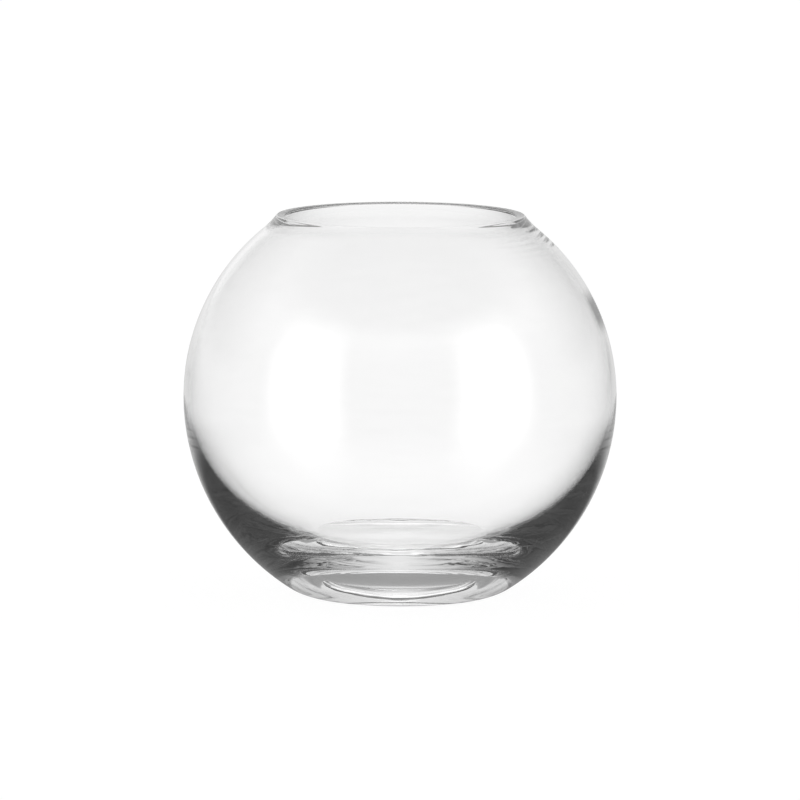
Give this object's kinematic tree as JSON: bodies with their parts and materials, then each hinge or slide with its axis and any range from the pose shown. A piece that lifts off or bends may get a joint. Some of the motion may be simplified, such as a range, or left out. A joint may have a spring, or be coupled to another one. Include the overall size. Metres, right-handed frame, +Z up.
{
  "type": "rose bowl vase",
  "caption": "Ball-shaped clear glass vase with a thin wall, a heavy solid base on a flat ground foot and a wide cut mouth, for cut flowers in water.",
  "frame": {"origin": "centre of the ground foot, on the surface that the bowl stands on", "axes": "+Z up along the axis that the bowl is turned about; X and Y are alike"},
  "size_m": [0.15, 0.15, 0.1317],
  "materials": {
    "clear_glass": "clear colourless glass, fire-polished, with a fine ground foot"
  },
  "bodies": {
    "root": {"glass_bowl": "clear_glass"}
  },
  "joints": []
}
